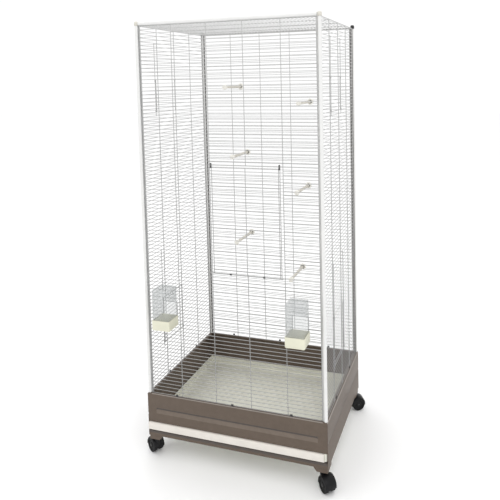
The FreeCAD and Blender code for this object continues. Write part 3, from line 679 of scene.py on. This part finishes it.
# painted shadow: the rail's top edge, its roll and the band under the tray's lip are dark
build.extrude(folded(path, SHEET), a.x, b.x, "yz", {i: SHADE for i in range(0, 8)})
build.piece("lower_rail_sheet", base_materials, "cage", "lower_rail", "taupe_enamel")


def rounded(x0, y0, x1, y1, z, radius, steps=5):
    """A rectangle with rounded corners, as one ring of points."""
    ring = []
    for cx, cy, start in ((x1 - radius, y1 - radius, 0), (x0 + radius, y1 - radius, 90),
                          (x0 + radius, y0 + radius, 180), (x1 - radius, y0 + radius, 270)):
        ring += [Vector((x, y, z)) for x, y in arc((cx, cy), radius, start, start + 90, steps)]
    return ring


def open_box(build, a, b, wall, radius, edge=1 * MM):
    """A thin-walled box, open on top, with rounded corners, bottom edge and rim."""
    inner = radius - wall * 0.4
    stretches = [(2 * edge, a.z, radius), (0.5 * edge, a.z + 0.6 * edge, radius), (0, a.z + 2 * edge, radius),
                 (0, b.z - 0.4 * edge, radius), (0.4 * edge, b.z, radius), (wall, b.z - 0.2 * edge, inner),
                 (wall, a.z + wall + edge, inner), (wall + edge, a.z + wall, inner)]
    build.loft([rounded(a.x + inset, a.y + inset, b.x - inset, b.y - inset, z, corner)
                for inset, z, corner in stretches])


# ---------------------------------------------------------------- tray

a, b = low("tray"), high("tray")
LIP_R = 5 * MM
LIP_SHEET = 2.2 * MM
LIP_END = 9 * MM               # the lip stops this far short of the pan's right end
PAN_WALL = 2.5 * MM
PAN_CORNER = 6 * MM
LIP_SLOT = 1
pan_front = a.y + LIP_R + 1.5 * MM
build = Build()
open_box(build, Vector((a.x, pan_front, a.z)), Vector((b.x, b.y, b.z - 0.5 * MM)), PAN_WALL, PAN_CORNER)
lip = [(pan_front + 3 * MM, b.z - 0.3 * MM), (pan_front, b.z)]
lip += arc((a.y + LIP_R, b.z - LIP_R), LIP_R, 90, 180, 8)
lip += arc((a.y + LIP_R, a.z + LIP_R), LIP_R, 180, 270, 8)
lip += [(pan_front + 1 * MM, a.z)]
build.slot = LIP_SLOT
build.extrude(folded(lip, LIP_SHEET), a.x, b.x - LIP_END, "yz")
build.piece("tray_pan", [CREAM_TRAY, LIP_ENAMEL], "tray", "tray", "tray_plastic")

# ---------------------------------------------------------------- castors

joint_places = {joint["name"]: Vector(joint["pos_m"]) for joint in frame["record"]["behaviour"]["joints"]}
HOOD_R = 28.5 * MM
HOOD_SHELL = 2.5 * MM
HOOD_HALF = 20 * MM
WEB = 5 * MM
HOOD_STEPS = 30
NOTCH = 3 * MM
NOTCH_ANGLE = 12
AXLE_R = 3.9 * MM


def castor(corner):
    """One castor: hood with its stem's collar, axle and wheel pair, placed by the record's two joints."""
    stem = joint_places["castor_swivel_" + corner]
    axle = joint_places["wheel_spin_" + corner]
    trail = Vector((axle.x - stem.x, axle.y - stem.y, 0)).normalized()
    along = Vector((-trail.y, trail.x, 0))
    wheel_r = axle.z
    inner_r = HOOD_R - HOOD_SHELL
    half = HOOD_HALF
    build = Build()
    rings = []
    for step in range(HOOD_STEPS + 1):
        angle = math.radians(-10 + 200 * step / HOOD_STEPS)
        # the hood's side edges are cut back at its trailing end, which leaves a notch over each wheel
        drop = 0.0 if angle > math.radians(NOTCH_ANGLE) else NOTCH
        section = [(-half, inner_r), (-half + drop, HOOD_R - 4 * MM + drop),
                   (-half + 1.2 * MM + drop, HOOD_R - 1.2 * MM), (-half + 4 * MM + drop, HOOD_R),
                   (half - 4 * MM - drop, HOOD_R), (half - 1.2 * MM - drop, HOOD_R - 1.2 * MM),
                   (half - drop, HOOD_R - 4 * MM + drop), (half, inner_r),
                   (WEB, inner_r), (WEB, 5 * MM), (-WEB, 5 * MM), (-WEB, inner_r)]
        rings.append([axle + trail * (r * math.cos(angle)) + along * v + Vector((0, 0, r * math.sin(angle)))
                      for v, r in section])
    build.loft(rings)
    neck = stem.z - 0.5 * MM - axle.z
    collar = [(13 * MM, 8 * MM), (14 * MM, 12 * MM), (neck - 6 * MM, 12.8 * MM), (neck - 4 * MM, 12.2 * MM),
              (neck - 3.4 * MM, 10.5 * MM), (neck - 2.8 * MM, 12.4 * MM), (neck - 0.8 * MM, 12.4 * MM),
              (neck, 11.6 * MM), (neck, 5 * MM), (neck + 11 * MM, 5 * MM)]
    build.lathe(collar, (stem.x, stem.y, axle.z), (0, 0, 1), 28)
    swivel = "castor_" + corner
    build.piece("castor_hood_%s_shell" % corner, [BLACK_HOOD], swivel, "castor_hood_" + corner,
                "castor_plastic", angle=30)
    build = Build()
    build.lathe([(0, 3 * MM), (0.6 * MM, AXLE_R), (2 * half - 0.6 * MM, AXLE_R), (2 * half, 3 * MM)],
                axle - along * half, along, 20)
    build.piece("castor_axle_%s_pin" % corner, [DARK_AXLE], swivel, "castor_axle_" + corner, "axle_steel")
    build = Build()
    width = half - WEB - 1 * MM
    bore = 4.1 * MM
    profile = [(0, bore), (0, wheel_r - 3 * MM), (0.6 * MM, wheel_r - 1.2 * MM), (2.4 * MM, wheel_r),
               (width - 2.4 * MM, wheel_r), (width - 0.6 * MM, wheel_r - 1.2 * MM), (width, wheel_r - 3 * MM),
               (width, wheel_r - 6 * MM), (width - 3 * MM, wheel_r - 7.5 * MM), (width - 3 * MM, 11 * MM),
               (width - 1 * MM, 9 * MM), (width, 8 * MM), (width, bore), (0, bore)]
    for out in (-1, 1):
        build.lathe(profile, axle + along * out * (WEB + 0.5 * MM), along * out, 40)
    build.piece("castor_wheels_%s_pair" % corner, [BLACK_WHEEL], "wheels_" + corner,
                "castor_wheels_" + corner, "wheel_plastic")


for end in ("front", "rear"):
    for side in ("left", "right"):
        castor(end + "_" + side)

# ---------------------------------------------------------------- nodes that keep their CAD shape

# The feet, runners, rim clips and hoppers keep the CAD's shape, with a finish and eased edges.


def ease(node, material, width, segments=2):
    """Keeps a CAD node's shape, with a finish and softened edges."""
    obj = frame["nodes"][node]
    if not obj.material_slots:
        obj.data.materials.append(material)
    for slot in obj.material_slots:
        slot.material = material
    weld = obj.modifiers.new("weld", "WELD")
    weld.merge_threshold = 0.01 * MM
    bevel = obj.modifiers.new("bevel", "BEVEL")
    bevel.width = width
    bevel.segments = segments
    bevel.limit_method = "ANGLE"
    bevel.angle_limit = math.radians(40)
    bevel.harden_normals = True


for name in frame["nodes"]:
    if name.startswith("foot_"):
        ease(name, TAUPE, 0.8 * MM)
    elif name.startswith("runner_"):
        ease(name, TAUPE, 0.3 * MM)
    elif name == "rim_clips":
        ease(name, DARK_STEEL, 0.6 * MM)
    elif name.startswith("feed_hopper_"):
        ease(name, CLEAR, 0.5 * MM)

# ---------------------------------------------------------------- feed cups

CUP_WALL = 2 * MM
CUP_CORNER = 4 * MM
CUP_GAP = 1.5 * MM             # between the cup's back and the front wires' plane
SKID = 4 * MM                  # height of the two skids under a cup
SKID_WIDTH = 6 * MM
SKID_INSET = 6 * MM
TONGUE = 3 * MM                # thickness of the tongue that reaches in between two rows
TONGUE_HALF = 20 * MM
TONGUE_LIFT = 0.3 * MM
for side in ("left", "right"):
    node = "feed_cup_" + side
    a, b = low(node), high(node)
    back_y = front_y - CUP_GAP
    build = Build()
    open_box(build, Vector((a.x, a.y, a.z + SKID)), Vector((b.x, back_y, b.z)), CUP_WALL, CUP_CORNER)
    for x in (a.x + SKID_INSET, b.x - SKID_INSET - SKID_WIDTH):
        outline = [(a.y + 6 * MM, a.z + SKID + 0.5 * MM), (a.y + 8 * MM, a.z), (back_y - 8 * MM, a.z),
                   (back_y - 6 * MM, a.z + SKID + 0.5 * MM)]
        build.extrude(outline, x, x + SKID_WIDTH, "yz")
    mid = (a.x + b.x) / 2
    tongue_z = row(FEEDER_ROWS[0] - 1) + WIRE_R + TONGUE_LIFT
    tongue = [(mid - TONGUE_HALF, back_y - 1 * MM), (mid + TONGUE_HALF, back_y - 1 * MM),
              (mid + TONGUE_HALF, b.y - 2 * MM), (mid + TONGUE_HALF - 2 * MM, b.y),
              (mid - TONGUE_HALF + 2 * MM, b.y), (mid - TONGUE_HALF, b.y - 2 * MM)]
    build.extrude(tongue, tongue_z, tongue_z + TONGUE, "xy")
    build.piece(node + "_bowl", [CREAM_CUP], "cup_" + side, node, "cup_plastic")

# ---------------------------------------------------------------- perches and their bolts

PERCHES = 6
PERCH_R = 5.5 * MM
KNOB_R = 9.5 * MM
KNOB_LENGTH = 12 * MM
RIBS = 34
RIB_DEPTH = 0.35 * MM
DISC = 4 * MM                  # thickness of the wall disc
SHANK_R = 2 * MM
KNOB_SLOT, BAR_SLOT, DARK_RING_SLOT = 0, 1, 2
bolt_build = Build()
bolt_high = high("perch_bolts").y
for number in range(1, PERCHES + 1):
    node = "perch_%d" % number
    a, b = low(node), high(node)
    centre = (a + b) / 2
    length = b.y - a.y
    disc = (b.x - a.x) / 2
    tip = (centre.x, a.y, centre.z)
    build = Build()
    profile = [(0, KNOB_R * 0.55), (0.6 * MM, KNOB_R * 0.82), (2 * MM, KNOB_R * 0.97), (3.5 * MM, KNOB_R),
               (KNOB_LENGTH - 2 * MM, KNOB_R * 0.98), (KNOB_LENGTH - 0.6 * MM, KNOB_R * 0.86),
               (KNOB_LENGTH, PERCH_R)]
    build.lathe(profile, tip, (0, 1, 0), 28)
    build.slot = BAR_SLOT
    ribs = []
    start, stop = KNOB_LENGTH - 0.5 * MM, length - DISC
    for i in range(RIBS * 2 + 1):
        ribs.append((start + (stop - start) * i / (RIBS * 2), PERCH_R - (RIB_DEPTH if i % 2 else 0)))
    build.lathe(ribs, tip, (0, 1, 0), 20)
    build.slot = KNOB_SLOT
    build.lathe([(length - DISC, PERCH_R), (length - DISC, disc * 0.5), (length - 3 * MM, disc * 0.93),
                 (length - 1.6 * MM, disc), (length, disc * 0.96)], tip, (0, 1, 0), 32)
    # a dark ring round the bar, just in front of the wall disc
    build.slot = DARK_RING_SLOT
    build.lathe([(length - 5.5 * MM, PERCH_R), (length - 5.5 * MM, 7.2 * MM), (length - 3.4 * MM, 7.4 * MM),
                 (length - 3.4 * MM, PERCH_R)], tip, (0, 1, 0), 24)
    build.piece(node + "_turned", [KNOB, PERCH, DARK_STEEL], "cage", node, "perch_plastic")
    bolt = bolt_high - b.y
    bolt_build.lathe([(0, SHANK_R), (bolt - 5 * MM, SHANK_R), (bolt - 5 * MM, 8.4 * MM),
                      (bolt - 4 * MM, 9 * MM), (bolt - 1.4 * MM, 9 * MM), (bolt - 0.3 * MM, 7.6 * MM),
                      (bolt, 5 * MM)], (centre.x, b.y, centre.z), (0, 1, 0), 6)
bolt_build.piece("perch_bolt_heads", [BOLT], "cage", "perch_bolts", "bolt_plastic", angle=20)

# ---------------------------------------------------------------- camera, light, floor

# The camera's place, turn, lens and shift were solved from the photo's perspective.
YAW, PITCH, ROLL_ANGLE = (math.radians(v) for v in (17.52854, -4.01230, -1.08055))
CAMERA_X = 0.7677
CAMERA_BACK = 1.8881           # in front of the cage's middle
CAMERA_RISE = 1.0924           # above the front wires' lower end
camera = bpy.data.cameras.new("camera")
view = bpy.data.objects.new("camera", camera)
bpy.context.scene.collection.objects.link(view)
ahead = Vector((-math.sin(YAW) * math.cos(PITCH), math.cos(YAW) * math.cos(PITCH), math.sin(PITCH)))
across = Vector((math.cos(YAW), math.sin(YAW), 0))
above = across.cross(ahead)
right = across * math.cos(ROLL_ANGLE) + above * math.sin(ROLL_ANGLE)
top = above * math.cos(ROLL_ANGLE) - across * math.sin(ROLL_ANGLE)
camera_place = Vector((CAMERA_X, cage_y - CAMERA_BACK, low("wire_front").z + CAMERA_RISE))
turn = Matrix((right, top, -ahead)).transposed().to_4x4()
view.matrix_world = Matrix.Translation(camera_place) @ turn
camera.sensor_width = 36
camera.lens = 39.92
camera.shift_x = -0.0962
camera.shift_y = -0.2606
camera.clip_start = 0.05
camera.dof.use_dof = False
bpy.context.scene.camera = view

bpy.ops.mesh.primitive_plane_add(size=40, location=(0, 0, -0.5 * MM))
floor = bpy.context.object
floor.name = "floor"
floor.data.materials.append(surface("floor_white", (0.98, 0.98, 0.98), 0.6, spread=0.01, grain=2, bump=0.0))


def lamp(name, place, aim, size, power):
    light = bpy.data.lights.new(name, "AREA")
    light.shape = "RECTANGLE"
    light.size, light.size_y = size
    light.energy = power
    obj = bpy.data.objects.new(name, light)
    bpy.context.scene.collection.objects.link(obj)
    obj.location = place
    obj.rotation_euler = (Vector(aim) - Vector(place)).to_track_quat("-Z", "Y").to_euler()


lamp("key", (1.6, -2.4, 3.6), (0, 0, 0.8), (2.2, 2.2), 28)
lamp("top", (-0.6, 0.4, 4.2), (0, 0, 0), (3.0, 3.0), 26)
lamp("fill", (-3.2, -2.0, 2.2), (0, 0, 0.9), (2.5, 2.5), 4)
world = bpy.data.worlds.new("studio")
bpy.context.scene.world = world
world.use_nodes = True
sky = world.node_tree
backdrop = sky.nodes["Background"]
backdrop.inputs["Color"].default_value = (1, 1, 1, 1)
backdrop.inputs["Strength"].default_value = 1.04
bpy.context.scene.view_settings.view_transform = "Standard"
